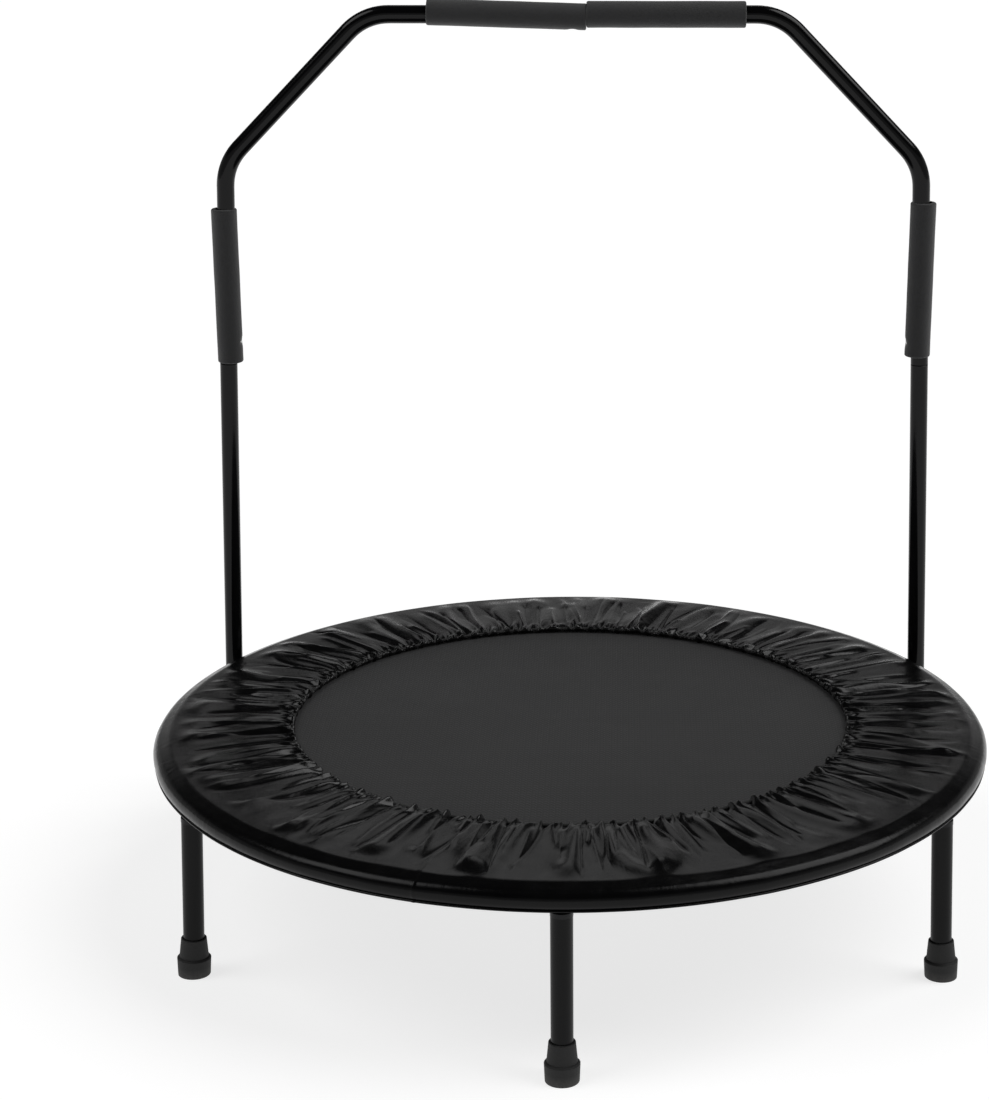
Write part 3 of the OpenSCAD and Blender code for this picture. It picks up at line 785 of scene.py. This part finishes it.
def build_grip(node, hole, seed):
    """Foam sleeve with rounded ends, slightly lumpy, dented where the snap button comes through."""
    middle, direction, length = grip_axis(node)
    corner = 0.0022
    arc = np.linspace(0, math.pi / 2, 7)
    end = np.stack([corner * (1 - np.cos(arc)), GRIP_R - corner * (1 - np.sin(arc))], -1)
    count = max(24, int(length / 0.0016))
    body_t = np.linspace(corner, length - corner, count)[1:-1]
    t = np.concatenate([[0.0, 0.0], end[:, 0], body_t, length - end[::-1, 0], [length, length]])
    bore = np.array([HANDLE_R + 0.0001, HANDLE_R + 0.002])
    r = np.concatenate([bore, end[:, 1], np.full(len(body_t), GRIP_R), end[::-1, 1], bore[::-1]])
    cols = GRIP_COLS
    a = np.linspace(0, TAU, cols, endpoint=False)
    side = Vector(direction).orthogonal().normalized()
    up = Vector(direction).cross(side)
    side, up = np.array(side), np.array(up)
    rng = np.random.default_rng(seed)
    radius = np.repeat(r[:, None], cols, 1)
    lump = np.zeros_like(radius)
    for _ in range(22):
        k = rng.integers(0, 4)
        freq = rng.uniform(15, 160)
        lump += rng.uniform(0.2, 1.0) * np.cos(k * a + rng.uniform(0, TAU))[None, :] * (
            np.sin(freq * t + rng.uniform(0, TAU))[:, None]
        )
    outer = (r > HANDLE_R + 0.003)[:, None]
    radius += 0.00003 * lump * outer
    ring = np.cos(a)[None, :, None] * side + np.sin(a)[None, :, None] * up
    axis_points = middle + (t - length / 2)[:, None] * direction
    points = axis_points[:, None, :] + radius[:, :, None] * ring
    if hole is not None:
        away = np.linalg.norm(points - np.array(hole), axis=2)
        dent = 0.0024 * np.exp(-((away / 0.0052) ** 3))
        points -= dent[:, :, None] * ring
    grip = mesh_object(node + "_foam", points.reshape(-1, 3), grid_faces(len(t), cols), "foam")
    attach(grip, "handle")
    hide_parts(node)


def tip(node):
    """Outer end of a snap button: the point of its box furthest from the tube it sits in."""
    lo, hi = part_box(node)
    middle = (lo + hi) / 2
    if node == "button_top":
        return (middle.x, middle.y, lo.z)
    return (hi.x if middle.x < 0 else lo.x, middle.y, middle.z)


build_cover()
build_mat()
build_webbing()
build_springs()
build_grip("grip_top_left", tip("button_top"), 1)
build_grip("grip_top_right", None, 2)
build_grip("grip_side_left", tip("button_left"), 3)
build_grip("grip_side_right", tip("button_right"), 4)


# ---------- stage, light and camera ----------


def build_stage():
    """A pale floor that glows a little, so that it reads as lit paper."""
    mesh = bpy.data.meshes.new("floor")
    corners = [(x * FLOOR_SIZE, y * FLOOR_SIZE, 0) for x, y in ((-1, -1), (1, -1), (1, 1), (-1, 1))]
    mesh.from_pydata(corners, [], [[0, 1, 2, 3]])
    floor = bpy.data.objects.new("floor", mesh)
    floor.location.z = FLOOR_Z
    bpy.context.scene.collection.objects.link(floor)
    g = Graph("floor_paper")
    g.set(Base_Color=(FLOOR_GREY, FLOOR_GREY, FLOOR_GREY, 1.0), Roughness=0.9, Specular_IOR_Level=0.0)
    g.set(Emission_Color=(1.0, 1.0, 1.0, 1.0), Emission_Strength=FLOOR_GLOW)
    mesh.materials.append(g.mat)


def sun(name, towards, strength, disc):
    """A soft box far away in that direction, disc degrees across."""
    light = bpy.data.lights.new(name, "SUN")
    light.energy = strength
    light.angle = math.radians(disc)
    obj = bpy.data.objects.new(name, light)
    obj.rotation_euler = Vector(towards).to_track_quat("Z", "Y").to_euler()
    bpy.context.scene.collection.objects.link(obj)


def build_light():
    """A studio that is bright near the horizon and dark above it, and the soft boxes."""
    world = bpy.data.worlds.new("studio")
    world.use_nodes = True
    tree = world.node_tree
    background = tree.nodes["Background"]
    coords = tree.nodes.new("ShaderNodeTexCoord")
    parts = tree.nodes.new("ShaderNodeSeparateXYZ")
    ramp = tree.nodes.new("ShaderNodeMapRange")
    keys = ("From Min", "From Max", "To Min", "To Max")
    for key, value in zip(keys, (*HORIZON, WORLD_LOW, WORLD_TOP)):
        ramp.inputs[key].default_value = value
    tree.links.new(coords.outputs["Generated"], parts.inputs[0])
    tree.links.new(parts.outputs["Z"], ramp.inputs["Value"])
    tree.links.new(ramp.outputs["Result"], background.inputs["Strength"])
    background.inputs["Color"].default_value = (1, 1, 1, 1)
    bpy.context.scene.world = world
    for name, towards, strength, disc in SUNS:
        sun(name, towards, strength, disc)


def build_camera():
    """The camera in front of the object, looking down by its pitch."""
    camera = bpy.data.cameras.new("camera")
    camera.lens = CAMERA_LENS
    camera.sensor_width = 36
    camera.shift_x = CAMERA_SHIFT_X
    camera.clip_end = 100
    obj = bpy.data.objects.new("camera", camera)
    level = math.cos(CAMERA_PITCH)
    ahead = (math.sin(CAMERA_YAW) * level, math.cos(CAMERA_YAW) * level, -math.sin(CAMERA_PITCH))
    forward = Vector(ahead)
    obj.location = CAMERA_AT
    obj.rotation_euler = forward.to_track_quat("-Z", "Y").to_euler()
    bpy.context.scene.collection.objects.link(obj)
    bpy.context.scene.camera = obj


build_stage()
build_light()
build_camera()
bpy.context.scene.view_settings.view_transform = "Standard"
